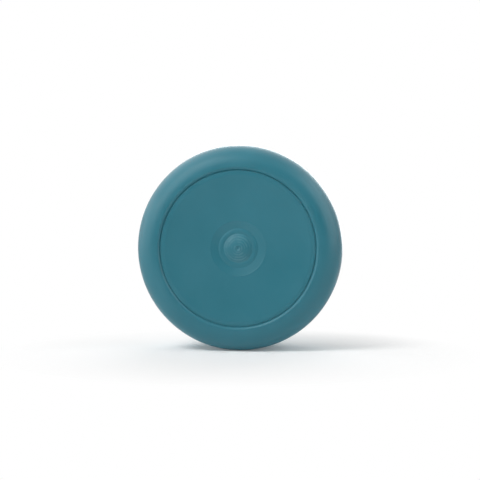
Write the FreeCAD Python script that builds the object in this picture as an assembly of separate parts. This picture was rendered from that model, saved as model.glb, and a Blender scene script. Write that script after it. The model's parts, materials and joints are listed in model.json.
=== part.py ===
import FreeCAD, Part
import math
import os

# Collapsible travel cup, folded flat and closed with its lid. Millimetres, +Z up.
# The origin is the centre of the circle that the base stands on, and the cup's axis is Z.
# Six tapered rings telescope upwards out of the base, each one larger than the one it slides on.

# roundings, from sharp to broad
edgeRound = 0.3
smallRound = 0.4
rimRound = 0.6
softRound = 0.8
broadRound = 1.5

# how far a cutting shape runs past the surface it cuts, and what counts as touching
overcut = 1.0
tolerance = 1e-5

# base: outer shell with a round heel and a lip that rolls into the groove
baseRadius = 45.0
heelRadius = 9.4
shellWall = 2.0
shellTop = 9.8
seamEdge = 0.25
lipRadius = 1.6
openingRadius = 33.9

# bottom plate, set in the shell's opening and framed by a shallow groove
plateRadius = 33.6
plateEdgeZ = 0.75
plateWall = 1.5
landRadius = 31.9
flangeClearance = 0.1
grooveFloorZ = 1.05
dishBendRadius = 22.0
dishBendZ = 2.4
dishCurve = 140.0
wellRadius = 12.0
wellMouthZ = 2.85
wellFloorRadius = 8.6
wellFloorZ = 3.6
stepRadius = 8.0
stepWidth = 1.0
stepHeight = 0.15
nubRadius = 6.3
nubSphere = 17.0
gateSphere = 2.2
gateDepth = 0.3

# floor plate level with the shell's top, and the collar welded on the shell round the folded rings
trayFloorZ = shellTop
trayWall = 1.6
trayRadius = 42.6
collarInner = 42.4
collarHeight = 4.2
hubRadius = 12.0

# telescoping rings, counted from the smallest
ringCount = 6
firstRadius = 30.0
ringPitch = 2.2
ringWall = 1.3
ringHeight = 20.0
bandHeight = 3.0
bandStep = 0.25
ringStroke = 17.0
wedgeGap = 0.05
mouthHeight = 26.0
lipBead = 0.45
lipBeadHeight = 2.4
lipRound = 0.8
cupFloor = 1.4
cupFloorRound = 2.5
floorCrown = 0.4

# lid
skirtGap = 0.3
skirtRadius = 43.9
skirtDraft = 0.4
skirtInner = 42.3
lidSeatRadius = 42.6
lidRim = 3.0
panelDrop = 2.6
panelWall = 1.6
panelRadius = 37.2
panelSlope = 1.4
plugRadius = 39.4
plugWall = 1.4
plugDrop = 4.2
sealGrooveTop = 1.0
sealGrooveHeight = 2.0
sealGrooveDepth = 0.6
sealSqueezeGap = 0.08
sealPlay = 0.1
sealRoot = 0.5
sealValley = 0.7
sealRibHalf = 0.25
sealRibRound = 0.15
scoopRadius = 9.0
scoopDepth = 1.9
scoopOffset = 4.0
notchRadius = 12.0
notchDepth = 2.8
notchLength = 6.0

# sip opening, its flap and its hinge
sipY = -31.5
sipLength = 16.0
sipWidth = 6.0
chuteWall = 1.2
chuteDrop = 1.4
hingeY = -2.0
knuckleRadius = 1.3
knuckleLength = 9.6
knuckleLift = 0.15
lugWidth = 2.4
lugGap = 0.2
pinRadius = 0.75
pinClearance = 0.05
flapLift = 0.2
flapThickness = 1.8
flapReach = 36.3
flapWidth = 19.0
flapNeck = 6.0
flapNeckRound = 4.0
flapShoulder = 20.0
flapShoulderRound = 8.0
flapCornerRound = 4.0
sipPlugGap = 0.15
sipPlugDraft = 0.4
sipPlugDepth = 3.0
stemRadius = 1.6
endInset = 0.2
ventRadius = 1.0
ventY = 14.0

# The rings widen upwards just enough to wedge at the end of their stroke.
ringTaper = (ringPitch - ringWall - 2 * bandStep - wedgeGap) / ringStroke
mouthRadius = firstRadius + ringPitch * (ringCount - 1)
mouthTopZ = trayFloorZ + mouthHeight
collarTopZ = shellTop + collarHeight
lidTopZ = mouthTopZ + lidRim
panelTopZ = lidTopZ - panelDrop
panelBottomZ = panelTopZ - panelWall
hingeZ = panelTopZ + knuckleLift + knuckleRadius
flapBottomZ = panelTopZ + flapLift
flapTopZ = flapBottomZ + flapThickness
axisZ = FreeCAD.Vector(0, 0, 1)
axisX = FreeCAD.Vector(1, 0, 0)


def vectorTo(fromPoint, toPoint):
    return (toPoint - fromPoint).normalize()


def roundedFace(corners):
    # Closed face through the corners; each is a point and the radius that rounds it.
    starts = []
    middles = []
    ends = []
    for i, (here, radius) in enumerate(corners):
        if radius == 0:
            starts.append(here)
            middles.append(None)
            ends.append(here)
            continue
        back = vectorTo(here, corners[i - 1][0])
        ahead = vectorTo(here, corners[(i + 1) % len(corners)][0])
        half = back.getAngle(ahead) / 2
        inward = (back + ahead).normalize()
        reach = radius / math.tan(half)
        starts.append(here + back * reach)
        middles.append(here + inward * (radius / math.sin(half) - radius))
        ends.append(here + ahead * reach)
    edges = []
    for i in range(len(corners)):
        if middles[i] is not None:
            edges.append(Part.Arc(starts[i], middles[i], ends[i]).toShape())
        following = starts[(i + 1) % len(corners)]
        if ends[i].distanceToPoint(following) > tolerance:
            edges.append(Part.LineSegment(ends[i], following).toShape())
    return Part.Face(Part.Wire(edges))


def turned(profile):
    # Solid of revolution; the profile is a list of (radius, height) or (radius, height, rounding).
    corners = []
    for corner in profile:
        rounding = corner[2] if len(corner) > 2 else 0
        corners.append((FreeCAD.Vector(corner[0], 0, corner[1]), rounding))
    return roundedFace(corners).revolve(FreeCAD.Vector(), axisZ, 360)


def slotFace(length, width, y, z):
    # Slot outline with round ends, its long side along X.
    half = (length - width) / 2
    radius = width / 2
    top = Part.LineSegment(FreeCAD.Vector(-half, y + radius, z), FreeCAD.Vector(half, y + radius, z))
    right = Part.Arc(
        FreeCAD.Vector(half, y + radius, z),
        FreeCAD.Vector(half + radius, y, z),
        FreeCAD.Vector(half, y - radius, z),
    )
    bottom = Part.LineSegment(FreeCAD.Vector(half, y - radius, z), FreeCAD.Vector(-half, y - radius, z))
    left = Part.Arc(
        FreeCAD.Vector(-half, y - radius, z),
        FreeCAD.Vector(-half - radius, y, z),
        FreeCAD.Vector(-half, y + radius, z),
    )
    return Part.Face(Part.Wire([side.toShape() for side in (top, right, bottom, left)]))


def rodAlongX(radius, length, y, z):
    return Part.makeCylinder(radius, length, FreeCAD.Vector(-length / 2, y, z), axisX)


def makeBaseShell():
    return turned([
        (openingRadius, 0, lipRadius),
        (baseRadius, 0, heelRadius),
        (baseRadius, shellTop, seamEdge),
        (baseRadius - shellWall, shellTop),
        (baseRadius - shellWall, shellWall, heelRadius - shellWall),
        (openingRadius, shellWall),
    ])


def makeBottomPlate():
    # Dish, well and step on the underside, with a solid nub in the middle that has a gate dimple.
    flangeRadius = baseRadius - heelRadius - flangeClearance
    flangeTop = shellWall + plateWall
    wellTop = wellFloorZ + plateWall
    stepZ = wellFloorZ - stepHeight
    nubTopZ = wellFloorZ - nubSphere + math.sqrt(nubSphere ** 2 - nubRadius ** 2)
    plate = turned([
        (0, wellTop),
        (wellFloorRadius, wellTop, smallRound),
        (wellRadius, wellMouthZ + plateWall, softRound),
        (landRadius - plateWall, flangeTop, broadRound),
        (flangeRadius, flangeTop),
        (flangeRadius, shellWall),
        (openingRadius, shellWall),
        (openingRadius, grooveFloorZ),
        (plateRadius, grooveFloorZ),
        (plateRadius, plateEdgeZ, edgeRound / 2),
        (landRadius, plateEdgeZ, softRound),
        (dishBendRadius, dishBendZ, dishCurve),
        (wellRadius, wellMouthZ, broadRound),
        (wellFloorRadius, wellFloorZ, smallRound),
        (stepRadius, stepZ, edgeRound),
        (stepRadius - stepWidth, stepZ, edgeRound),
        (nubRadius, wellFloorZ),
        (0, nubTopZ),
    ])
    nubBlank = Part.makeCylinder(nubRadius, wellFloorZ - nubTopZ, FreeCAD.Vector(0, 0, nubTopZ))
    nub = Part.makeSphere(nubSphere, FreeCAD.Vector(0, 0, nubTopZ + nubSphere)).common(nubBlank)
    gate = Part.makeSphere(gateSphere, FreeCAD.Vector(0, 0, nubTopZ + gateDepth - gateSphere))
    return plate.fuse(nub).cut(gate).removeSplitter()


def makeBaseTray():
    # Flat plate with a rib underneath that presses the bottom plate's flange on to the shell.
    ribOuter = baseRadius - heelRadius - 2 * flangeClearance
    ribInner = ribOuter - trayWall
    ribBottom = shellWall + plateWall
    underside = trayFloorZ - trayWall
    return turned([
        (hubRadius, underside),
        (ribInner, underside),
        (ribInner, ribBottom),
        (ribOuter, ribBottom),
        (ribOuter, underside),
        (trayRadius, underside, rimRound),
        (trayRadius, trayFloorZ),
        (hubRadius, trayFloorZ),
    ])


def makeBaseCollar():
    # Wall round the folded rings; its lower outer edge leaves a fine seam over the shell.
    return turned([
        (collarInner, shellTop),
        (baseRadius, shellTop, seamEdge),
        (baseRadius, collarTopZ, rimRound),
        (collarInner, collarTopZ, smallRound),
    ])


def ringWallOutline(bottomRadius, withFloor):
    # Inner side then outer side of one ring, with the band that wedges in the next ring at its top.
    bottom = trayFloorZ
    top = bottom + ringHeight
    topRadius = bottomRadius + ringTaper * ringHeight
    bandRadius = bottomRadius + ringTaper * (ringHeight - bandHeight)
    outside = [
        (bottomRadius, bottom, smallRound),
        (bandRadius, top - bandHeight),
        (bandRadius + bandStep, top - bandHeight + bandStep),
        (topRadius + bandStep, top, smallRound),
        (topRadius - ringWall, top, smallRound),
    ]
    if withFloor:
        return outside
    return outside + bottomBand(bottomRadius)


def bottomBand(bottomRadius):
    # Inward band at a ring's foot, which meets the outer band of the ring inside it.
    inner = bottomRadius - ringWall
    return [
        (inner + ringTaper * bandHeight, trayFloorZ + bandHeight),
        (inner - bandStep + ringTaper * bandHeight, trayFloorZ + bandHeight - bandStep),
        (inner - bandStep, trayFloorZ, edgeRound),
    ]


def makeFloorRing():
    spigot = hubRadius - pinClearance
    floorTop = trayFloorZ + cupFloor
    outline = [
        (0, trayFloorZ),
        (spigot - ringWall, trayFloorZ),
        (spigot - ringWall, trayFloorZ - trayWall),
        (spigot, trayFloorZ - trayWall),
        (spigot, trayFloorZ),
    ]
    outline += ringWallOutline(firstRadius, True)
    outline += [
        (firstRadius - ringWall, floorTop, cupFloorRound),
        (0, floorTop + floorCrown),
    ]
    return turned(outline)


def makeMouthRing():
    top = mouthTopZ
    topRadius = mouthRadius + ringTaper * mouthHeight
    neck = mouthRadius + ringTaper * (mouthHeight - lipBeadHeight)
    outline = [
        (mouthRadius, trayFloorZ, smallRound),
        (neck, top - lipBeadHeight),
        (topRadius + lipBead, top - lipBeadHeight + lipBead, smallRound),
        (topRadius + lipBead, top, lipRound),
        (topRadius - ringWall, top, lipRound),
    ]
    return turned(outline + bottomBand(mouthRadius))


def mouthBoreAt(z):
    return mouthRadius - ringWall + ringTaper * (z - trayFloorZ)


def makeLidSkirt():
    # Sleeve of the lid; a ledge inside its top edge carries the lid's top.
    bottom = collarTopZ + skirtGap
    skirt = turned([
        (skirtInner, bottom, smallRound),
        (skirtRadius, bottom, rimRound),
        (skirtRadius - skirtDraft, lidTopZ, rimRound),
        (lidSeatRadius, lidTopZ),
        (lidSeatRadius, mouthTopZ),
        (skirtInner, mouthTopZ),
    ])
    return skirt.cut([fingerScoop(), pryNotch(1), pryNotch(-1)])


def makePlugRing():
    # Ring under the lid's top that reaches into the mouth and carries the seal in its groove.
    bottom = panelBottomZ - plugDrop
    grooveTop = panelBottomZ - sealGrooveTop
    grooveBottom = grooveTop - sealGrooveHeight
    grooveRadius = plugRadius - sealGrooveDepth
    return turned([
        (plugRadius - plugWall, bottom, edgeRound),
        (plugRadius, bottom, rimRound),
        (plugRadius, grooveBottom),
        (grooveRadius, grooveBottom),
        (grooveRadius, grooveTop),
        (plugRadius, grooveTop),
        (plugRadius, mouthTopZ),
        (plugRadius - plugWall, mouthTopZ),
    ])


def makeLidTop():
    # Disc with a raised rim round a sunk panel, the sip opening, the vent and the flap's lugs.
    top = turned([
        (0, panelBottomZ),
        (plugRadius - plugWall, panelBottomZ),
        (plugRadius - plugWall, mouthTopZ),
        (lidSeatRadius, mouthTopZ),
        (lidSeatRadius, lidTopZ, smallRound),
        (panelRadius + panelSlope, lidTopZ, softRound),
        (panelRadius, panelTopZ, smallRound),
        (0, panelTopZ),
    ])
    top = top.fuse([sipChute(), hingeLug(1), hingeLug(-1)])
    through = panelWall + chuteDrop + 2 * overcut
    sip = slotFace(sipLength, sipWidth, sipY, panelTopZ + overcut).extrude(-axisZ * (through + overcut))
    vent = Part.makeCylinder(ventRadius, through, FreeCAD.Vector(0, ventY, panelBottomZ - overcut))
    pinHole = rodAlongX(pinRadius, 2 * skirtRadius, hingeY, hingeZ).common(lugSpan())
    return top.cut([sip, vent, pinHole, fingerScoop()]).removeSplitter()


def sipChute():
    # Short wall around the sip opening under the panel, which the plug seals against.
    bottom = panelBottomZ - chuteDrop
    outer = slotFace(sipLength + 2 * chuteWall, sipWidth + 2 * chuteWall, sipY, bottom)
    return outer.extrude(axisZ * (chuteDrop + panelWall / 2))


def hingeLug(side):
    start = side * (knuckleLength / 2 + lugGap)
    barrel = Part.makeCylinder(knuckleRadius, lugWidth, FreeCAD.Vector(start, hingeY, hingeZ), axisX * side)
    left = min(start, start + side * lugWidth)
    foot = Part.makeBox(
        lugWidth,
        2 * knuckleRadius,
        hingeZ - panelTopZ + panelWall / 2,
        FreeCAD.Vector(left, hingeY - knuckleRadius, panelTopZ - panelWall / 2),
    )
    return barrel.fuse(foot)


def lugSpan():
    width = knuckleLength + 2 * lugGap + 2 * lugWidth
    corner = FreeCAD.Vector(-width / 2, hingeY - knuckleRadius, panelTopZ)
    return Part.makeBox(width, 2 * knuckleRadius, 2 * knuckleRadius + overcut, corner)


def fingerScoop():
    # Shallow scoop in the rim where a fingertip lifts the flap.
    centre = FreeCAD.Vector(0, -flapReach - scoopOffset, lidTopZ + scoopRadius - scoopDepth)
    return Part.makeSphere(scoopRadius, centre)


def pryNotch(side):
    # Arched notch in the skirt's lower edge where a thumb pushes the lid off.
    centreZ = collarTopZ + skirtGap + notchDepth - notchRadius
    centre = FreeCAD.Vector(side * (plugRadius + overcut), 0, centreZ)
    return Part.makeCylinder(notchRadius, notchLength, centre, axisX * side)


def makeLidSeal():
    # Two round ribs that press on the mouth, with a valley between them and a narrower root.
    top = panelBottomZ - sealGrooveTop - sealPlay
    bottom = top - sealGrooveHeight + 2 * sealPlay
    middle = (top + bottom) / 2
    inner = plugRadius - sealGrooveDepth
    outer = mouthBoreAt(bottom) - sealSqueezeGap
    return turned([
        (inner, bottom),
        (inner + sealRoot, bottom),
        (outer, bottom + sealRibHalf, sealRibRound),
        (outer, middle - sealRibHalf, sealRibRound),
        (inner + sealValley, middle),
        (outer, middle + sealRibHalf, sealRibRound),
        (outer, top - sealRibHalf, sealRibRound),
        (inner + sealRoot, top),
        (inner, top),
    ])


def makeSipFlap():
    # Flap plate, narrow between the lugs and wide over the opening, with its hinge knuckle.
    half = knuckleLength / 2
    wide = flapWidth / 2
    neckY = hingeY - flapNeck
    shoulderY = hingeY - flapShoulder
    tipY = -flapReach - 2 * overcut
    plan = []
    for x, y, rounding in (
        (-half, hingeY, 0),
        (-half, neckY, flapNeckRound),
        (-wide, shoulderY, flapShoulderRound),
        (-wide, tipY, 0),
        (wide, tipY, 0),
        (wide, shoulderY, flapShoulderRound),
        (half, neckY, flapNeckRound),
        (half, hingeY, 0),
    ):
        plan.append((FreeCAD.Vector(x, y, flapBottomZ), rounding))
    plate = roundedFace(plan).extrude(axisZ * flapThickness)
    plate = plate.common(Part.makeCylinder(flapReach, lidTopZ))
    corners = [edge for edge in plate.Edges if isFlapCorner(edge)]
    plate = plate.makeFillet(flapCornerRound, corners)
    rim = [edge for edge in plate.Edges if isTopRim(edge)]
    plate = plate.makeFillet(rimRound, rim)
    knuckle = rodAlongX(knuckleRadius, knuckleLength, hingeY, hingeZ)
    bore = rodAlongX(pinRadius + pinClearance, knuckleLength + overcut, hingeY, hingeZ)
    stemFoot = FreeCAD.Vector(0, sipY, flapBottomZ - overcut)
    stemHole = Part.makeCylinder(stemRadius, flapThickness + 2 * overcut, stemFoot)
    return plate.fuse(knuckle).cut([bore, stemHole]).removeSplitter()


def isFlapCorner(edge):
    middle = edge.CenterOfMass
    upright = edge.BoundBox.ZLength > flapThickness / 2
    return upright and middle.y < sipY and abs(middle.x) > flapWidth / 2 - smallRound


def isTopRim(edge):
    flat = edge.BoundBox.ZMin > flapTopZ - tolerance
    return flat and edge.CenterOfMass.y < hingeY - smallRound


def makeSipPlug():
    top = slotFace(sipLength - 2 * sipPlugGap, sipWidth - 2 * sipPlugGap, sipY, flapBottomZ)
    shrink = 2 * (sipPlugGap + sipPlugDraft)
    bottom = slotFace(sipLength - shrink, sipWidth - shrink, sipY, flapBottomZ - sipPlugDepth)
    body = Part.makeLoft([top.OuterWire, bottom.OuterWire], True, True)
    stem = Part.makeCylinder(stemRadius, flapThickness - endInset, FreeCAD.Vector(0, sipY, flapBottomZ))
    return body.fuse(stem).removeSplitter()


def makeFlapPin():
    length = knuckleLength + 2 * lugGap + 2 * lugWidth - 2 * endInset
    return rodAlongX(pinRadius, length, hingeY, hingeZ)


pieces = {
    "base_shell": makeBaseShell(),
    "bottom_plate": makeBottomPlate(),
    "base_tray": makeBaseTray(),
    "base_collar": makeBaseCollar(),
    "floor_ring": makeFloorRing(),
    "mouth_ring": makeMouthRing(),
    "lid_top": makeLidTop(),
    "lid_skirt": makeLidSkirt(),
    "plug_ring": makePlugRing(),
    "lid_seal": makeLidSeal(),
    "sip_flap": makeSipFlap(),
    "sip_plug": makeSipPlug(),
    "flap_pin": makeFlapPin(),
}
for number in range(2, ringCount):
    ringRadius = firstRadius + ringPitch * (number - 1)
    pieces["ring_%d" % number] = turned(ringWallOutline(ringRadius, False))

os.makedirs("parts", exist_ok=True)
for name, shape in pieces.items():
    solid = shape.Solids[0]
    solid.exportStep("parts/" + name + ".step")
    box = solid.optimalBoundingBox()
    print("%-14s solids %d valid %s volume %8.1f z %6.2f to %6.2f radius %5.2f" % (
        name, len(shape.Solids), solid.isValid(), solid.Volume, box.ZMin, box.ZMax, box.XMax))
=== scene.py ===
import bpy
import json
import math
from mathutils import Matrix, Vector


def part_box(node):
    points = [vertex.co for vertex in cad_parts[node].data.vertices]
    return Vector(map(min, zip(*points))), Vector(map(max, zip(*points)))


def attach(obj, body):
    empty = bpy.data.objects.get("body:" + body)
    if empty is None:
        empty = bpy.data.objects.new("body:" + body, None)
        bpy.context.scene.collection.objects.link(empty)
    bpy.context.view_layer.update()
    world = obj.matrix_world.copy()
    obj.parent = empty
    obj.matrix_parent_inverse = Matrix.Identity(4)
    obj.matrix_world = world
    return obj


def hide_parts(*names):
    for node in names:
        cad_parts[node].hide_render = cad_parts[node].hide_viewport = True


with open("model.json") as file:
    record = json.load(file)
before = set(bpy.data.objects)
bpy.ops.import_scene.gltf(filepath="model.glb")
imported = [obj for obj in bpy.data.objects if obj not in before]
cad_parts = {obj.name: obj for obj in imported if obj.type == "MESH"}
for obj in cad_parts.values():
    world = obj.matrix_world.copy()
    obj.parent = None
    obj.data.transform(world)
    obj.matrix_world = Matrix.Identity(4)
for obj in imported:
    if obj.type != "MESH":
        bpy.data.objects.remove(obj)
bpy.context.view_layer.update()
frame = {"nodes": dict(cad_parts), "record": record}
mm = 0.001
scene = bpy.context.scene
scene.view_settings.view_transform = "Standard"


# Small helpers for shader nodes.
def newMaterial(name, viewColor):
    mat = bpy.data.materials.new(name)
    mat.use_nodes = True
    mat.diffuse_color = (*viewColor, 1)
    nodes = mat.node_tree.nodes
    shader = nodes["Principled BSDF"]
    coords = nodes.new("ShaderNodeTexCoord")
    return mat, nodes, mat.node_tree.links, shader, coords


def noiseNode(nodes, links, coords, scale, detail=3.0, roughness=0.5, stretch=None):
    noise = nodes.new("ShaderNodeTexNoise")
    noise.inputs["Scale"].default_value = scale
    noise.inputs["Detail"].default_value = detail
    noise.inputs["Roughness"].default_value = roughness
    source = coords.outputs["Object"]
    if stretch:
        mapping = nodes.new("ShaderNodeMapping")
        mapping.inputs["Scale"].default_value = stretch
        links.new(source, mapping.inputs["Vector"])
        source = mapping.outputs["Vector"]
    links.new(source, noise.inputs["Vector"])
    return noise.outputs["Fac"]


def rangeNode(nodes, links, value, low, high, outLow, outHigh):
    node = nodes.new("ShaderNodeMapRange")
    node.inputs["From Min"].default_value = low
    node.inputs["From Max"].default_value = high
    node.inputs["To Min"].default_value = outLow
    node.inputs["To Max"].default_value = outHigh
    links.new(value, node.inputs["Value"])
    return node.outputs["Result"]


def mixColor(nodes, links, factor, first, second):
    node = nodes.new("ShaderNodeMix")
    node.data_type = "RGBA"
    links.new(factor, node.inputs["Factor"])
    for socket, value in ((node.inputs["A"], first), (node.inputs["B"], second)):
        if isinstance(value, tuple):
            socket.default_value = (*value, 1)
        else:
            links.new(value, socket)
    return node.outputs["Result"]


def mathNode(nodes, links, operation, *values):
    node = nodes.new("ShaderNodeMath")
    node.operation = operation
    for socket, value in zip(node.inputs, values):
        if isinstance(value, (int, float)):
            socket.default_value = value
        else:
            links.new(value, socket)
    return node.outputs["Value"]


def axisDistance(nodes, links, coords):
    # distance from the cup's axis, in metres
    flat = nodes.new("ShaderNodeVectorMath")
    flat.operation = "MULTIPLY"
    flat.inputs[1].default_value = (1, 1, 0)
    links.new(coords.outputs["Object"], flat.inputs[0])
    length = nodes.new("ShaderNodeVectorMath")
    length.operation = "LENGTH"
    links.new(flat.outputs["Vector"], length.inputs[0])
    return length.outputs["Value"]


# Satin moulded plastic: cloudy pigment, a fine moulded grain, slightly polished raised edges.
# "swirl" is the radius of the scuffed spot around the gate, in millimetres; the paler rings there are partly
# scuffing and partly a painted highlight.
plasticLook = {
    "shellPlastic": {
        "color": (0.017, 0.146, 0.194), "pale": (0.022, 0.157, 0.207), "edge": (0.050, 0.215, 0.270),
        "rough": 0.32, "specular": 0.5, "grain": 0.05, "sheen": 0.0, "swirl": 0.0,
    },
    "platePlastic": {
        "color": (0.016, 0.144, 0.191), "pale": (0.021, 0.155, 0.204), "edge": (0.045, 0.205, 0.258),
        "rough": 0.32, "specular": 0.5, "grain": 0.05, "sheen": 0.0, "swirl": 6.6,
        # paler tint of the scuffed rings round the gate, partly real scuffing and partly a painted highlight
        "scuffAndSheenColor": (0.085, 0.225, 0.265),
    },
    "ringPlastic": {
        "color": (0.060, 0.245, 0.300), "pale": (0.070, 0.265, 0.322), "edge": (0.120, 0.340, 0.395),
        "rough": 0.40, "specular": 0.45, "grain": 0.05, "sheen": 0.0, "swirl": 0.0,
    },
    "sealSilicone": {
        "color": (0.012, 0.075, 0.098), "pale": (0.016, 0.088, 0.112), "edge": (0.020, 0.105, 0.130),
        "rough": 0.62, "specular": 0.35, "grain": 0.03, "sheen": 0.15, "swirl": 0.0,
    },
}
# What the plastics share: noise scales, lengths in metres, and the shares of each effect.
patternLook = {
    "cloud": 45, "patch": 160, "smear": 90, "grain": 3800, "swell": 220, "swellShare": 0.6,
    "edgeRadius": 0.3 * mm, "bumpDepth": 0.05 * mm, "rubbing": (0.10, 0.6), "smearing": (-0.03, 0.04),
    "marks": {"Scale": 280, "Distortion": 2.2, "Detail": 3.0, "Detail Scale": 2.0},
    "spotFade": 0.85, "scuffPatch": 260, "scuffHeight": 3.0, "scuffRough": 0.10, "scuffAndSheenTint": 0.5,
}


def plasticMaterial(name):
    look = plasticLook[name]
    pattern = patternLook
    mat, nodes, links, shader, coords = newMaterial(name, look["color"])
    cloud = noiseNode(nodes, links, coords, pattern["cloud"], 4.0)
    pigment = rangeNode(nodes, links, cloud, 0.35, 0.65, 0.0, 1.0)
    color = mixColor(nodes, links, pigment, look["color"], look["pale"])
    # worn edges: where the surface turns away from its softened self
    bevel = nodes.new("ShaderNodeBevel")
    bevel.samples = 4
    bevel.inputs["Radius"].default_value = pattern["edgeRadius"]
    geometry = nodes.new("ShaderNodeNewGeometry")
    turn = nodes.new("ShaderNodeVectorMath")
    turn.operation = "DOT_PRODUCT"
    links.new(bevel.outputs["Normal"], turn.inputs[0])
    links.new(geometry.outputs["Normal"], turn.inputs[1])
    edge = rangeNode(nodes, links, turn.outputs["Value"], 0.990, 0.90, 0.0, 1.0)
    patchy = noiseNode(nodes, links, coords, pattern["patch"])
    rub = rangeNode(nodes, links, patchy, 0.42, 0.62, *pattern["rubbing"])
    wear = mathNode(nodes, links, "MULTIPLY", edge, rub)
    color = mixColor(nodes, links, wear, color, look["edge"])
    smear = noiseNode(nodes, links, coords, pattern["smear"], 5.0, 0.6)
    glossiest, dullest = (look["rough"] + change for change in pattern["smearing"])
    rough = rangeNode(nodes, links, smear, 0.3, 0.7, glossiest, dullest)
    grain = noiseNode(nodes, links, coords, pattern["grain"], 2.0)
    swell = noiseNode(nodes, links, coords, pattern["swell"], 2.0)
    height = mathNode(nodes, links, "MULTIPLY_ADD", swell, pattern["swellShare"], grain)
    if look["swirl"]:
        # patchy turning marks on the raised middle, tinted paler: partly real scuffing, partly a painted
        # highlight for the nub's patchy sheen
        axis = axisDistance(nodes, links, coords)
        reach = look["swirl"] * mm
        spot = rangeNode(nodes, links, axis, reach, reach * pattern["spotFade"], 0.0, 1.0)
        wave = nodes.new("ShaderNodeTexWave")
        wave.wave_type = "RINGS"
        wave.rings_direction = "Z"
        for socketName, value in pattern["marks"].items():
            wave.inputs[socketName].default_value = value
        links.new(coords.outputs["Object"], wave.inputs["Vector"])
        patches = noiseNode(nodes, links, coords, pattern["scuffPatch"])
        patches = rangeNode(nodes, links, patches, 0.40, 0.58, 0.10, 1.0)
        scuffAndSheenMarks = mathNode(nodes, links, "MULTIPLY", wave.outputs["Fac"], patches)
        scuffAndSheenMarks = mathNode(nodes, links, "MULTIPLY", scuffAndSheenMarks, spot)
        height = mathNode(nodes, links, "MULTIPLY_ADD", scuffAndSheenMarks, pattern["scuffHeight"], height)
        rough = mathNode(nodes, links, "MULTIPLY_ADD", scuffAndSheenMarks, pattern["scuffRough"], rough)
        # share of the paler tint: partly real scuffing, partly a painted highlight standing in for the nub's
        # sheen
        scuffAndSheenShare = mathNode(nodes, links, "MULTIPLY", scuffAndSheenMarks, pattern["scuffAndSheenTint"])
        color = mixColor(nodes, links, scuffAndSheenShare, color, look["scuffAndSheenColor"])
    links.new(color, shader.inputs["Base Color"])
    links.new(rough, shader.inputs["Roughness"])
    bump = nodes.new("ShaderNodeBump")
    bump.inputs["Strength"].default_value = look["grain"]
    bump.inputs["Distance"].default_value = pattern["bumpDepth"]
    links.new(height, bump.inputs["Height"])
    links.new(bump.outputs["Normal"], shader.inputs["Normal"])
    shader.inputs["Specular IOR Level"].default_value = look["specular"]
    shader.inputs["Sheen Weight"].default_value = look["sheen"]
    return mat


def steelMaterial():
    mat, nodes, links, shader, coords = newMaterial("pinSteel", (0.6, 0.61, 0.62))
    drawn = noiseNode(nodes, links, coords, 900, 4.0, 0.6, (0.08, 1.0, 1.0))
    tone = rangeNode(nodes, links, drawn, 0.3, 0.7, 0.0, 1.0)
    color = mixColor(nodes, links, tone, (0.50, 0.51, 0.52), (0.66, 0.66, 0.66))
    links.new(color, shader.inputs["Base Color"])
    rough = rangeNode(nodes, links, drawn, 0.3, 0.7, 0.22, 0.36)
    links.new(rough, shader.inputs["Roughness"])
    bump = nodes.new("ShaderNodeBump")
    bump.inputs["Strength"].default_value = 0.08
    bump.inputs["Distance"].default_value = 0.03 * mm
    links.new(drawn, bump.inputs["Height"])
    links.new(bump.outputs["Normal"], shader.inputs["Normal"])
    shader.inputs["Metallic"].default_value = 1.0
    return mat


materials = {name: plasticMaterial(name) for name in plasticLook}
materials["pinSteel"] = steelMaterial()
finishOf = {
    "shellPlastic": ("base_shell", "base_tray", "base_collar", "lid_top", "lid_skirt", "plug_ring",
                     "sip_flap"),
    "platePlastic": ("bottom_plate",),
    "ringPlastic": ("floor_ring", "ring_2", "ring_3", "ring_4", "ring_5", "mouth_ring"),
    "sealSilicone": ("lid_seal", "sip_plug"),
    "pinSteel": ("flap_pin",),
}
for finish, nodeNames in finishOf.items():
    for nodeName in nodeNames:
        solid = frame["nodes"][nodeName]
        solid.data.materials.clear()
        solid.data.materials.append(materials[finish])
print("finishes ready:", ", ".join(materials))


# Turned pieces. A profile goes round the cup's axis; its corners are (radius, height, rounding) in
# millimetres, walked outwards along the underside and back along the top.
def cornerPoint(corner):
    return Vector((corner[0], corner[1]))


def roundedProfile(corners, closed, arcStep=7.0, leastSteps=5, support=0.25):
    # Points along the profile: rounded corners in short steps, flats held by a point near each end.
    arcs = []
    count = len(corners)
    for i, corner in enumerate(corners):
        here = cornerPoint(corner)
        rounding = corner[2] if len(corner) > 2 else 0
        atEnd = not closed and i in (0, count - 1)
        if not rounding or atEnd:
            arcs.append((here, here))
            continue
        back = (cornerPoint(corners[i - 1]) - here).normalized()
        ahead = (cornerPoint(corners[(i + 1) % count]) - here).normalized()
        half = back.angle(ahead) / 2
        reach = rounding / math.tan(half)
        centre = here + (back + ahead).normalized() * (rounding / math.sin(half))
        start = here + back * reach - centre
        sweep = start.angle_signed(here + ahead * reach - centre)
        steps = max(leastSteps, math.ceil(math.degrees(abs(sweep)) / arcStep))
        arc = [centre + Matrix.Rotation(-sweep * k / steps, 2) @ start for k in range(steps + 1)]
        arcs.append(tuple(arc))
    line = []
    for i, arc in enumerate(arcs):
        line.extend(arc if (arc[0] - arc[-1]).length > 1e-6 else arc[:1])
        if not closed and i == count - 1:
            break
        following = arcs[(i + 1) % count][0]
        gap = following - line[-1]
        if gap.length > 4 * support:
            start = line[-1].copy()
            line.append(start + gap.normalized() * support)
            line.append(following - gap.normalized() * support)
    return line


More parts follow.
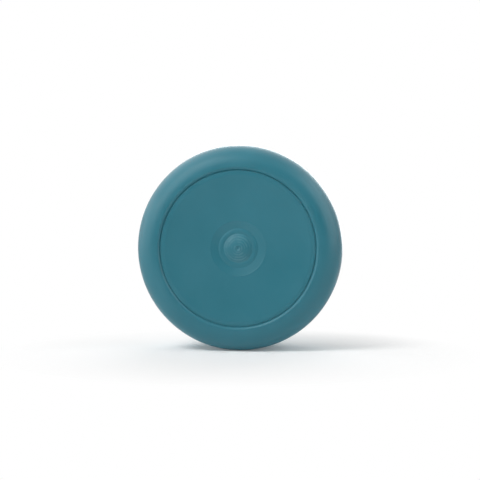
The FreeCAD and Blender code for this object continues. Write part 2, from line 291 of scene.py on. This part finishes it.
def turnedTree():
    # Sweeps the incoming profile round a circle of the hub's radius.
    tree = bpy.data.node_groups.new("turnedPiece", "GeometryNodeTree")
    face = tree.interface
    face.new_socket("Profile", in_out="INPUT", socket_type="NodeSocketGeometry")
    face.new_socket("Steps", in_out="INPUT", socket_type="NodeSocketInt")
    face.new_socket("Hub Radius", in_out="INPUT", socket_type="NodeSocketFloat")
    face.new_socket("Finish", in_out="INPUT", socket_type="NodeSocketMaterial")
    face.new_socket("Geometry", in_out="OUTPUT", socket_type="NodeSocketGeometry")
    nodes = tree.nodes
    link = tree.links.new
    given = nodes.new("NodeGroupInput")
    result = nodes.new("NodeGroupOutput")
    profile = nodes.new("GeometryNodeMeshToCurve")
    circle = nodes.new("GeometryNodeCurvePrimitiveCircle")
    sweep = nodes.new("GeometryNodeCurveToMesh")
    merge = nodes.new("GeometryNodeMergeByDistance")
    merge.inputs["Distance"].default_value = 1e-6
    realize = nodes.new("GeometryNodeRealizeInstances")
    finish = nodes.new("GeometryNodeSetMaterial")
    link(given.outputs["Profile"], profile.inputs["Mesh"])
    link(given.outputs["Steps"], circle.inputs["Resolution"])
    link(given.outputs["Hub Radius"], circle.inputs["Radius"])
    link(circle.outputs["Curve"], sweep.inputs["Curve"])
    link(profile.outputs["Curve"], sweep.inputs["Profile Curve"])
    link(sweep.outputs["Mesh"], merge.inputs["Geometry"])
    link(merge.outputs["Geometry"], realize.inputs["Geometry"])
    link(realize.outputs["Geometry"], finish.inputs["Geometry"])
    link(given.outputs["Finish"], finish.inputs["Material"])
    link(finish.outputs["Geometry"], result.inputs["Geometry"])
    return tree


def socketIds(tree):
    return {item.name: item.identifier for item in tree.interface.items_tree if item.in_out == "INPUT"}


def plainMesh(source, name):
    # The piece as a plain mesh of its own; the object that grew it goes.
    depsgraph = bpy.context.evaluated_depsgraph_get()
    mesh = bpy.data.meshes.new_from_object(source.evaluated_get(depsgraph))
    bpy.data.objects.remove(source)
    mesh.name = name
    piece = bpy.data.objects.new(name, mesh)
    scene.collection.objects.link(piece)
    mesh.shade_smooth()
    mesh.set_sharp_from_angle(angle=math.radians(32))
    return piece


turning = turnedTree()
turningIds = socketIds(turning)
hub = 20.0  # radius of the circle that carries every profile, in millimetres


def addTurned(name, look):
    # a profile that starts on the axis stays open there
    closed = look["corners"][0][0] > 0
    line = roundedProfile(look["corners"], closed)
    line.reverse()
    verts = [((point.x - hub) * mm, -point.y * mm, 0) for point in line]
    edges = [(i, i + 1) for i in range(len(line) - 1)]
    if closed:
        edges.append((len(line) - 1, 0))
    mesh = bpy.data.meshes.new(name + ".profile")
    mesh.from_pydata(verts, edges, [])
    source = bpy.data.objects.new(name + ".profile", mesh)
    scene.collection.objects.link(source)
    grow = source.modifiers.new("turn", "NODES")
    grow.node_group = turning
    grow[turningIds["Steps"]] = look["steps"]
    grow[turningIds["Hub Radius"]] = hub * mm
    grow[turningIds["Finish"]] = materials[look["finish"]]
    piece = plainMesh(source, name)
    if "place" in look:
        piece.data.transform(look["place"])
    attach(piece, look["body"])
    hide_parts(look["node"])
    return piece


def domeRun(apex, sphere, start, end, count):
    # points down the outside of a ball whose lowest point is at height apex
    radii = [start + (end - start) * k / count for k in range(count + 1)]
    return [(r, apex + sphere - math.sqrt(sphere * sphere - r * r)) for r in radii]


def span(node):
    # outer radius, lowest and highest point of a node, in millimetres
    low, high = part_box(node)
    return high[0] / mm, low[2] / mm, high[2] / mm


shellRadius, _, shellHigh = span("base_shell")
collarRadius, collarLow, collarHigh = span("base_collar")
trayRadius, trayLow, trayHigh = span("base_tray")
floorLow = span("floor_ring")[1]
mouthHigh = span("mouth_ring")[2]
ringHigh = span("ring_2")[2]
plugLow, plugHigh = span("plug_ring")[1:]
sealRadius, sealLow, sealHigh = span("lid_seal")
# The telescoping rings: "first" is the smallest one's radius at its foot, "step" how far a band stands out.
ringLook = {"first": 30.0, "pitch": 2.2, "wall": 1.3, "band": 3.0, "step": 0.25, "taper": 0.35 / 17,
            "edge": 0.4}


def ringOutside(foot, look):
    # outer side of a ring with the band at its top, from the foot upwards
    height = ringHigh - trayHigh
    top = foot + look["taper"] * height
    band = foot + look["taper"] * (height - look["band"])
    return [
        (foot, trayHigh, look["edge"]),
        (band, ringHigh - look["band"]),
        (band + look["step"], ringHigh - look["band"] + look["step"]),
        (top + look["step"], ringHigh, look["edge"]),
        (top - look["wall"], ringHigh, look["edge"]),
    ]


def ringFoot(foot, look):
    inner = foot - look["wall"]
    rise = look["taper"] * look["band"]
    return [
        (inner + rise, trayHigh + look["band"]),
        (inner - look["step"] + rise, trayHigh + look["band"] - look["step"]),
        (inner - look["step"], trayHigh, 0.3),
    ]


# Radii and heights that the frame's boxes don't give, in millimetres.
shellBore = 33.9  # the opening that the bottom plate fills
shellWall = 2.0
shellFloor = 2.0
plateEdge = 33.6
plateLand = 0.75
plateTop = 5.1
grooveFloor = 0.92
flangeRadius = 35.5
flangeTop = 3.5
wellFloor = 3.6
wellStep = 3.45
nubBall = 17.0  # the nub is a cap of this ball, the gate's dimple one of the smaller ball
nubFoot = 6.3
gateBall = 2.2
gateDepth = 0.3
collarBore = 42.4
trayWall = 1.6
hubBore = 12.0  # the tray's hole, which takes the floor ring's hub
hubRadius = 11.95
hubInside = 10.65
plugBore = 38.0
plugRadius = 39.4
sealSeat = 38.8
seatLow = 1.2
seatHigh = 3.2
nubTop = wellFloor - nubBall + math.sqrt(nubBall ** 2 - nubFoot ** 2)
gateCentre = nubTop + gateDepth - gateBall
mouthFoot = ringLook["first"] + 5 * ringLook["pitch"]
mouthTop = mouthFoot + ringLook["taper"] * (mouthHigh - trayHigh)
turnedLook = {
    "baseShell": {
        "node": "base_shell", "body": "base", "slot": "shell_plastic", "finish": "shellPlastic", "steps": 256,
        "corners": [(shellBore, 0, 1.6), (shellRadius, 0, 9.4), (shellRadius, shellHigh, 0.25),
                    (shellRadius - shellWall, shellHigh, 0.15), (shellRadius - shellWall, shellFloor, 7.4),
                    (shellBore, shellFloor)],
    },
    "bottomPlate": {
        "node": "bottom_plate", "body": "base", "slot": "shell_plastic", "finish": "platePlastic",
        "steps": 192,
        "corners": [(r, gateCentre + math.sqrt(gateBall ** 2 - r * r)) for r in (0, 0.3, 0.6, 0.85)]
        + [(1.05, nubTop, 0.08), (1.25, nubTop - 0.03, 0.1), (1.5, nubTop + 0.05, 0.1)]
        + domeRun(nubTop, nubBall, 1.8, 5.9, 10)
        + [(nubFoot, wellFloor, 0.5), (7.0, wellStep, 0.3), (8.0, wellStep, 0.3), (8.6, wellFloor, 0.6),
           (11.85, 2.88, 0.5), (12.1, 2.79, 0.12), (12.35, 2.82, 0.3), (22.0, 2.4, 140.0),
           (31.9, plateLand, 0.8), (plateEdge, plateLand, 0.15), (plateEdge, grooveFloor),
           (shellBore, grooveFloor), (shellBore, shellFloor), (flangeRadius, shellFloor),
           (flangeRadius, flangeTop), (30.4, flangeTop, 1.5), (12.0, 4.35, 0.8), (8.6, plateTop, 0.4),
           (0, plateTop)],
    },
    "baseTray": {
        "node": "base_tray", "body": "base", "slot": "shell_plastic", "finish": "shellPlastic", "steps": 160,
        "corners": [(hubBore, trayHigh - trayWall), (33.8, trayHigh - trayWall), (33.8, trayLow),
                    (35.4, trayLow), (35.4, trayHigh - trayWall), (trayRadius, trayHigh - trayWall, 0.6),
                    (trayRadius, trayHigh), (hubBore, trayHigh)],
    },
    "baseCollar": {
        "node": "base_collar", "body": "base", "slot": "shell_plastic", "finish": "shellPlastic",
        "steps": 256,
        "corners": [(collarBore, collarLow), (collarRadius, collarLow, 0.25),
                    (collarRadius, collarHigh, 0.6), (collarBore, collarHigh, 0.4)],
    },
    "floorRing": {
        "node": "floor_ring", "body": "base", "slot": "ring_plastic", "finish": "ringPlastic", "steps": 192,
        "corners": [(0, trayHigh), (hubInside, trayHigh), (hubInside, floorLow), (hubRadius, floorLow),
                    (hubRadius, trayHigh)]
        + ringOutside(ringLook["first"], ringLook) + [(28.7, trayHigh + 1.4, 2.5), (0, trayHigh + 1.8)],
    },
    "mouthRing": {
        "node": "mouth_ring", "body": "mouth", "slot": "ring_plastic", "finish": "ringPlastic", "steps": 256,
        "corners": [(mouthFoot, trayHigh, 0.4), (mouthTop - 0.05, mouthHigh - 2.4),
                    (mouthTop + 0.45, mouthHigh - 1.95, 0.4), (mouthTop + 0.45, mouthHigh, 0.8),
                    (mouthTop - 1.3, mouthHigh, 0.8)] + ringFoot(mouthFoot, ringLook),
    },
    "plugRing": {
        "node": "plug_ring", "body": "lid", "slot": "shell_plastic", "finish": "shellPlastic", "steps": 192,
        "corners": [(plugBore, plugLow, 0.3), (plugRadius, plugLow, 0.6), (plugRadius, plugLow + seatLow),
                    (sealSeat, plugLow + seatLow), (sealSeat, plugLow + seatHigh),
                    (plugRadius, plugLow + seatHigh), (plugRadius, plugHigh), (plugBore, plugHigh)],
    },
    "lidSeal": {
        "node": "lid_seal", "body": "lid", "slot": "seal_silicone", "finish": "sealSilicone", "steps": 192,
        "corners": [(sealSeat, sealLow), (39.3, sealLow, 0.1), (sealRadius, sealLow + 0.25, 0.15),
                    (sealRadius, sealLow + 0.65, 0.15), (39.5, sealLow + 0.9, 0.1),
                    (sealRadius, sealHigh - 0.65, 0.15), (sealRadius, sealHigh - 0.25, 0.15),
                    (39.3, sealHigh, 0.1), (sealSeat, sealHigh)],
    },
}
hinge = next(joint for joint in frame["record"]["behaviour"]["joints"] if joint["name"] == "sip_flap_hinge")
pinLow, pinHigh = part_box("flap_pin")
pinHalf = (pinHigh[0] - pinLow[0]) / 2 / mm
pinRadius = (pinHigh[2] - pinLow[2]) / 2 / mm
turnedLook["flapPin"] = {
    "node": "flap_pin", "body": "lid", "slot": "pin_steel", "finish": "pinSteel", "steps": 48,
    "corners": [(0, -pinHalf), (pinRadius, -pinHalf, 0.3), (pinRadius, pinHalf, 0.3), (0, pinHalf)],
    "place": Matrix.Translation(hinge["pos_m"]) @ Matrix.Rotation(math.radians(90), 4, "Y"),
}
for number in range(2, 6):
    foot = ringLook["first"] + ringLook["pitch"] * (number - 1)
    turnedLook["ring%d" % number] = {
        "node": "ring_%d" % number, "body": "ring_%d" % number, "slot": "ring_plastic",
        "finish": "ringPlastic", "steps": 192,
        "corners": ringOutside(foot, ringLook) + ringFoot(foot, ringLook),
    }
for pieceName, pieceLook in turnedLook.items():
    addTurned(pieceName, pieceLook)
print("turned pieces ready:", len(turnedLook))


# Grip ridges on the flap's lifting end: a row of fine bars set half into the flap.
# "rise" is the height of their middle lines over the hinge, "inset" their distance from the flap's end.
ridgeLook = {"count": 4, "pitch": 1.3 * mm, "length": 9.0 * mm, "radius": 0.3 * mm, "sides": 16,
             "inset": 3.2 * mm, "rise": 0.55 * mm}


def ridgeTree(sides):
    tree = bpy.data.node_groups.new("ridgeRow", "GeometryNodeTree")
    face = tree.interface
    face.new_socket("Geometry", in_out="INPUT", socket_type="NodeSocketGeometry")
    face.new_socket("Count", in_out="INPUT", socket_type="NodeSocketInt")
    face.new_socket("Pitch", in_out="INPUT", socket_type="NodeSocketVector")
    face.new_socket("End", in_out="INPUT", socket_type="NodeSocketVector")
    face.new_socket("Radius", in_out="INPUT", socket_type="NodeSocketFloat")
    face.new_socket("Finish", in_out="INPUT", socket_type="NodeSocketMaterial")
    face.new_socket("Geometry", in_out="OUTPUT", socket_type="NodeSocketGeometry")
    nodes = tree.nodes
    link = tree.links.new
    given = nodes.new("NodeGroupInput")
    result = nodes.new("NodeGroupOutput")
    row = nodes.new("GeometryNodeMeshLine")
    bar = nodes.new("GeometryNodeCurvePrimitiveLine")
    circle = nodes.new("GeometryNodeCurvePrimitiveCircle")
    circle.inputs["Resolution"].default_value = sides
    sweep = nodes.new("GeometryNodeCurveToMesh")
    sweep.inputs["Fill Caps"].default_value = True
    copies = nodes.new("GeometryNodeInstanceOnPoints")
    realize = nodes.new("GeometryNodeRealizeInstances")
    finish = nodes.new("GeometryNodeSetMaterial")
    link(given.outputs["Count"], row.inputs["Count"])
    link(given.outputs["Pitch"], row.inputs["Offset"])
    link(given.outputs["End"], bar.inputs["End"])
    link(given.outputs["Radius"], circle.inputs["Radius"])
    link(bar.outputs["Curve"], sweep.inputs["Curve"])
    link(circle.outputs["Curve"], sweep.inputs["Profile Curve"])
    link(row.outputs["Mesh"], copies.inputs["Points"])
    link(sweep.outputs["Mesh"], copies.inputs["Instance"])
    link(copies.outputs["Instances"], realize.inputs["Geometry"])
    link(realize.outputs["Geometry"], finish.inputs["Geometry"])
    link(given.outputs["Finish"], finish.inputs["Material"])
    link(finish.outputs["Geometry"], result.inputs["Geometry"])
    return tree


def addRidges(look):
    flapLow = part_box("sip_flap")[0]
    tree = ridgeTree(look["sides"])
    ids = socketIds(tree)
    source = bpy.data.objects.new("ridges.grow", bpy.data.meshes.new("ridges.grow"))
    scene.collection.objects.link(source)
    grow = source.modifiers.new("row", "NODES")
    grow.node_group = tree
    grow[ids["Count"]] = look["count"]
    grow[ids["Pitch"]] = (0, look["pitch"], 0)
    grow[ids["End"]] = (look["length"], 0, 0)
    grow[ids["Radius"]] = look["radius"]
    grow[ids["Finish"]] = materials["shellPlastic"]
    piece = plainMesh(source, "flapRidges")
    corner = (-look["length"] / 2, flapLow[1] + look["inset"], hinge["pos_m"][2] + look["rise"])
    piece.data.transform(Matrix.Translation(corner))
    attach(piece, "sip_flap")


addRidges(ridgeLook)
print("flap ridges ready")


# The closed cup stands on its edge with its underside to the camera, so "up" in the main view is -Y.
# One pale sheet under that edge (at y = +radius) is the main view's floor. A second one under the base
# serves the upright views; it shows to the camera only, so that it doesn't shade the underside.
stageLook = {"size": 3.0, "color": 0.92, "glow": 0.10, "fadeFrom": 0.058, "fadeTo": 0.115}


def sheetMaterial(name, look):
    mat = bpy.data.materials.new(name)
    mat.use_nodes = True
    nodes = mat.node_tree.nodes
    links = mat.node_tree.links
    nodes.clear()
    out = nodes.new("ShaderNodeOutputMaterial")
    pale = nodes.new("ShaderNodeBsdfDiffuse")
    pale.inputs["Color"].default_value = (look["color"], look["color"], look["color"], 1)
    path = nodes.new("ShaderNodeLightPath")
    glowing = nodes.new("ShaderNodeEmission")
    level = mathNode(nodes, links, "MULTIPLY", path.outputs["Is Camera Ray"], look["glow"])
    links.new(level, glowing.inputs["Strength"])
    lit = nodes.new("ShaderNodeAddShader")
    links.new(pale.outputs["BSDF"], lit.inputs[0])
    links.new(glowing.outputs["Emission"], lit.inputs[1])
    # away from the cup the sheet runs out into plain white
    coords = nodes.new("ShaderNodeTexCoord")
    length = nodes.new("ShaderNodeVectorMath")
    length.operation = "LENGTH"
    links.new(coords.outputs["Object"], length.inputs[0])
    fade = rangeNode(nodes, links, length.outputs["Value"], look["fadeFrom"], look["fadeTo"], 0.0, 1.0)
    fade = mathNode(nodes, links, "MULTIPLY", fade, path.outputs["Is Camera Ray"])
    white = nodes.new("ShaderNodeEmission")
    paper = nodes.new("ShaderNodeMixShader")
    links.new(fade, paper.inputs["Fac"])
    links.new(lit.outputs["Shader"], paper.inputs[1])
    links.new(white.outputs["Emission"], paper.inputs[2])
    geometry = nodes.new("ShaderNodeNewGeometry")
    clear = nodes.new("ShaderNodeBsdfTransparent")
    side = nodes.new("ShaderNodeMixShader")
    links.new(geometry.outputs["Backfacing"], side.inputs["Fac"])
    links.new(paper.outputs["Shader"], side.inputs[1])
    links.new(clear.outputs["BSDF"], side.inputs[2])
    links.new(side.outputs["Shader"], out.inputs["Surface"])
    return mat


def addSheet(name, origin, across, along, look):
    # Square sheet around origin; its front side faces the cross product of the two directions.
    half = look["size"] / 2
    across = Vector(across) * half
    along = Vector(along) * half
    origin = Vector(origin)
    mesh = bpy.data.meshes.new(name)
    corners = [origin - across - along, origin + across - along,
               origin + across + along, origin - across + along]
    mesh.from_pydata(corners, [], [(0, 1, 2, 3)])
    sheet = bpy.data.objects.new(name, mesh)
    scene.collection.objects.link(sheet)
    mesh.materials.append(sheetMaterial(name, look))
    return sheet


cupRadius = shellRadius * mm
pictureFloor = addSheet("pictureFloor", (0, cupRadius, 0), (1, 0, 0), (0, 0, 1), stageLook)
pictureFloor.visible_shadow = False
tableSheet = addSheet("tableSheet", (0, 0, 0), (1, 0, 0), (0, 1, 0), {**stageLook, "glow": 0.35})
tableSheet.visible_diffuse = False
tableSheet.visible_glossy = False
tableSheet.visible_transmission = False
tableSheet.visible_shadow = False

# Lamps: softboxes at the main view's upper left, a low one at its left and one at its upper right,
# one over the upright cup and one behind it.
lampLook = {
    "key": {"at": (-0.358, -0.426, -0.225), "size": (0.54, 1.2), "watts": 0.7},
    "keyLow": {"at": (-0.29, -0.3, -0.432), "size": (0.5, 0.45), "watts": 0.6},
    "left": {"at": (-0.632, -0.066, -0.135), "size": (0.5, 0.8), "watts": 1.4},
    "fillRight": {"at": (0.66, -0.308, -0.181), "size": (0.75, 0.7), "watts": 1.95},
    "overhead": {"at": (0.10, -0.25, 0.90), "size": (0.8, 0.8), "watts": 7.0},
    "back": {"at": (0.0, 0.70, 0.25), "size": (0.8, 0.6), "watts": 1.6},
}
# Soft spots that light the body colour and the floor only; nothing mirrors them.
spotLook = {
    "frontSpot": {"at": (0.0, -0.12, -0.62), "aim": (0.0, -0.05, 0.0),
                  "angle": 19.0, "soft": 0.08, "watts": 4.2},
    "floorKey": {"at": (-0.421, -0.674, -0.423), "aim": (0.03, 0.03, 0.01),
                 "angle": 40.0, "soft": 0.22, "watts": 18.0},
}


def addLamp(name, look):
    data = bpy.data.lights.new(name, "AREA")
    data.shape = "RECTANGLE"
    data.size, data.size_y = look["size"]
    data.energy = look["watts"]
    lamp = bpy.data.objects.new(name, data)
    away = Vector(look["at"]).normalized()
    sideways = Vector((0, 0, 1)).cross(away).normalized()
    turn = Matrix((sideways, away.cross(sideways), away)).transposed().to_4x4()
    lamp.matrix_world = Matrix.Translation(look["at"]) @ turn
    scene.collection.objects.link(lamp)


def addSpot(name, look):
    data = bpy.data.lights.new(name, "SPOT")
    data.energy = look["watts"]
    data.spot_size = math.radians(look["angle"])
    data.spot_blend = 1.0
    data.shadow_soft_size = look["soft"]
    lamp = bpy.data.objects.new(name, data)
    away = Vector(look["at"]) - Vector(look["aim"])
    lamp.location = look["at"]
    lamp.rotation_euler = away.to_track_quat("Z", "Y").to_euler()
    lamp.visible_glossy = False
    scene.collection.objects.link(lamp)


for lampName, lampValues in lampLook.items():
    addLamp(lampName, lampValues)
for spotName, spotValues in spotLook.items():
    addSpot(spotName, spotValues)

# Mirror-like rays meet a dark spot round the camera and a brighter room above the upright cup; the
# camera meets white. The room's stops are (share of the way from straight down to straight up,
# brightness). "floorSide" dims it towards +Y and "ceilingSide" lifts it towards -Y.
worldLook = {
    "ambient": 0.15, "room": ((0.02, 0.02), (0.14, 0.46), (0.45, 0.57), (0.62, 0.92)),
    "floorSide": 0.5, "floorRange": (0.15, 0.75), "ceilingSide": 2.0, "ceilingRange": (-0.15, -0.60),
}


def addWorld(look):
    world = bpy.data.worlds.new("studio")
    scene.world = world
    world.use_nodes = True
    nodes = world.node_tree.nodes
    links = world.node_tree.links
    rays = nodes.new("ShaderNodeLightPath")
    direction = nodes.new("ShaderNodeTexCoord")
    parts = nodes.new("ShaderNodeSeparateXYZ")
    links.new(direction.outputs["Generated"], parts.inputs["Vector"])
    height = rangeNode(nodes, links, parts.outputs["Z"], -1, 1, 0, 1)
    room = nodes.new("ShaderNodeValToRGB")
    links.new(height, room.inputs["Fac"])
    stops = room.color_ramp.elements
    while len(stops) < len(look["room"]):
        stops.new(1.0)
    for stop, (place, level) in zip(stops, look["room"]):
        stop.position = place
        stop.color = (level, level, level, 1)
    sideways = parts.outputs["Y"]
    floorShare = rangeNode(nodes, links, sideways, *look["floorRange"], 1.0, look["floorSide"])
    ceilingShare = rangeNode(nodes, links, sideways, *look["ceilingRange"], 1.0, look["ceilingSide"])
    sideShare = mathNode(nodes, links, "MULTIPLY", floorShare, ceilingShare)
    roomTone = nodes.new("ShaderNodeVectorMath")
    roomTone.operation = "SCALE"
    links.new(room.outputs["Color"], roomTone.inputs[0])
    links.new(sideShare, roomTone.inputs["Scale"])
    glossy, through = rays.outputs["Is Glossy Ray"], rays.outputs["Is Transmission Ray"]
    mirrored = mathNode(nodes, links, "MAXIMUM", glossy, through)
    tone = mixColor(nodes, links, mirrored, (look["ambient"],) * 3, roomTone.outputs["Vector"])
    tone = mixColor(nodes, links, rays.outputs["Is Camera Ray"], tone, (1.0, 1.0, 1.0))
    links.new(tone, nodes["Background"].inputs["Color"])


addWorld(worldLook)

# The camera looks up along the axis at the underside, a little from the view's right and above.
cameraLook = {"distance": 0.60, "right": 6.0, "above": 2.0, "lens": 102.7, "sensor": 36,
              "rise": 3.42 * mm, "shift": 0.22 * mm, "depth": 9.0 * mm}


def addCamera(look):
    right = math.radians(look["right"])
    above = math.radians(look["above"])
    toCamera = Vector((math.sin(right) * math.cos(above), -math.sin(above),
                       -math.cos(right) * math.cos(above)))
    target = Vector((look["shift"], -look["rise"], look["depth"]))
    sideways = Vector((0, -1, 0)).cross(toCamera).normalized()
    upwards = toCamera.cross(sideways)
    turn = Matrix((sideways, upwards, toCamera)).transposed().to_4x4()
    data = bpy.data.cameras.new("camera")
    data.lens = look["lens"]
    data.sensor_width = look["sensor"]
    camera = bpy.data.objects.new("camera", data)
    camera.matrix_world = Matrix.Translation(target + toCamera * look["distance"]) @ turn
    scene.collection.objects.link(camera)
    scene.camera = camera


addCamera(cameraLook)
print("stage, lamps and camera ready")
